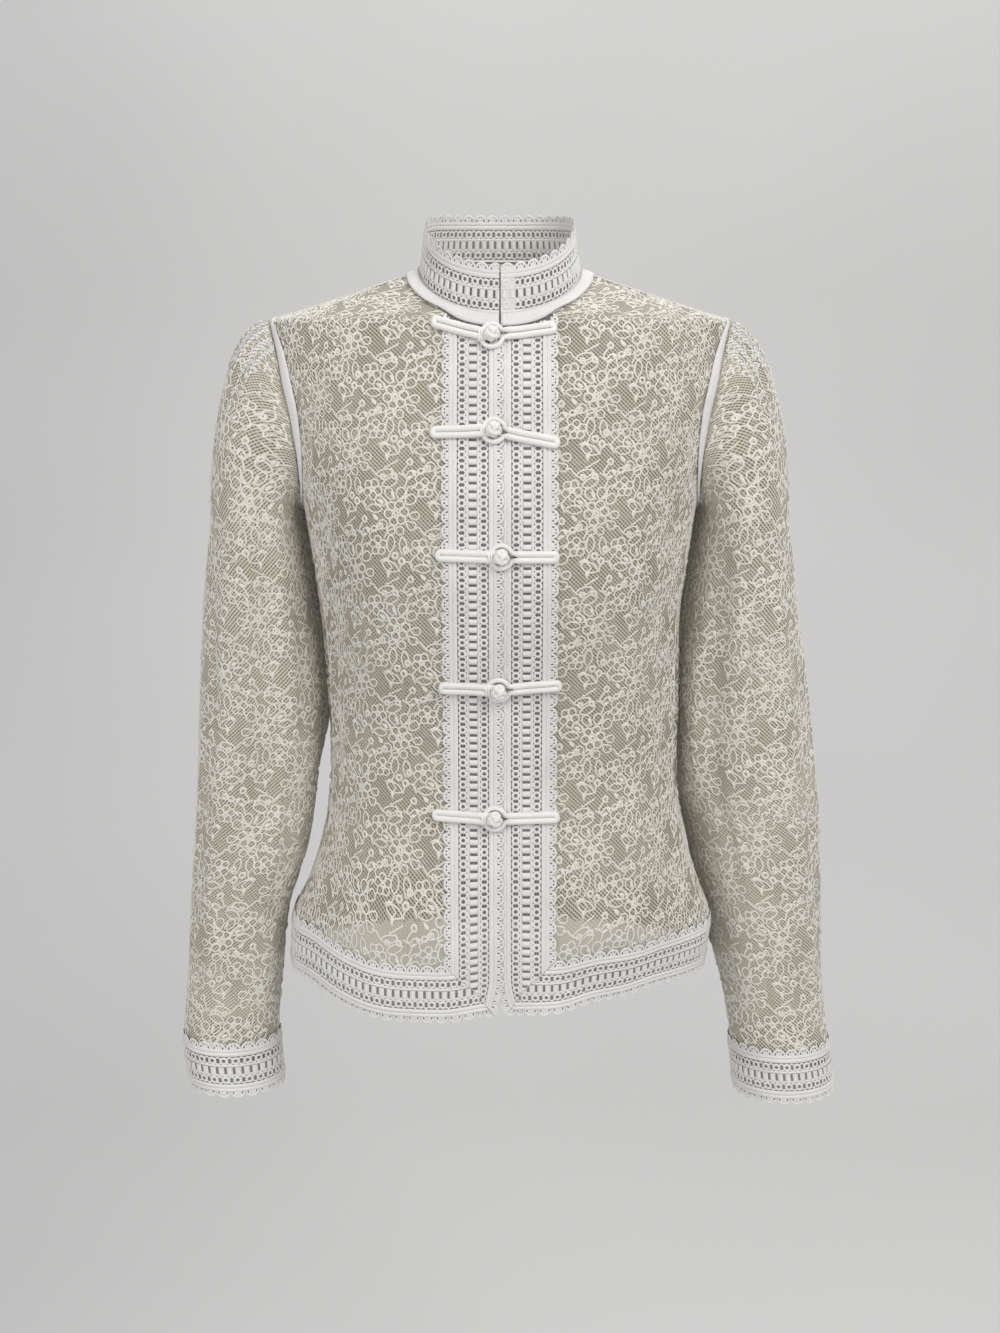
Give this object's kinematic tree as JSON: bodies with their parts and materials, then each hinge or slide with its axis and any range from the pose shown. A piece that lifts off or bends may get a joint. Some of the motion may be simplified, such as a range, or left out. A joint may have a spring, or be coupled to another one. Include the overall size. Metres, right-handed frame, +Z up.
{
  "type": "chinese-style shirt",
  "caption": "Long-sleeved corded lace shirt with a stand collar, openwork galloon along the front, hem and cuffs, and knotted satin frog fastenings down the front.",
  "frame": {"origin": "middle of the neck base, level with the neck end of the shoulder seams, where the wearer holds it up", "axes": "+Z up, the front faces -Y, the wearer's left is +X"},
  "size_m": [0.5435, 0.2375, 0.7122],
  "materials": {
    "lace": "corded lace on a fine net, matt",
    "galloon": "heavy openwork lace edging, matt",
    "tape": "smooth plain woven tape",
    "satin": "satin cord, soft sheen"
  },
  "bodies": {
    "root": {"front_left": "lace", "front_right": "lace", "back": "lace", "sleeve_left": "lace", "sleeve_right": "lace", "collar": "galloon", "placket_left": "galloon", "placket_right": "galloon", "hem_front_left": "galloon", "hem_front_right": "galloon", "hem_back": "galloon", "cuff_left": "galloon", "cuff_right": "galloon", "neck_binding": "tape", "armhole_tape_left": "tape", "armhole_tape_right": "tape", "frog_1_knot": "satin", "frog_1_loop": "satin", "frog_2_knot": "satin", "frog_2_loop": "satin", "frog_3_knot": "satin", "frog_3_loop": "satin", "frog_4_knot": "satin", "frog_4_loop": "satin", "frog_5_knot": "satin", "frog_5_loop": "satin"}
  },
  "joints": []
}
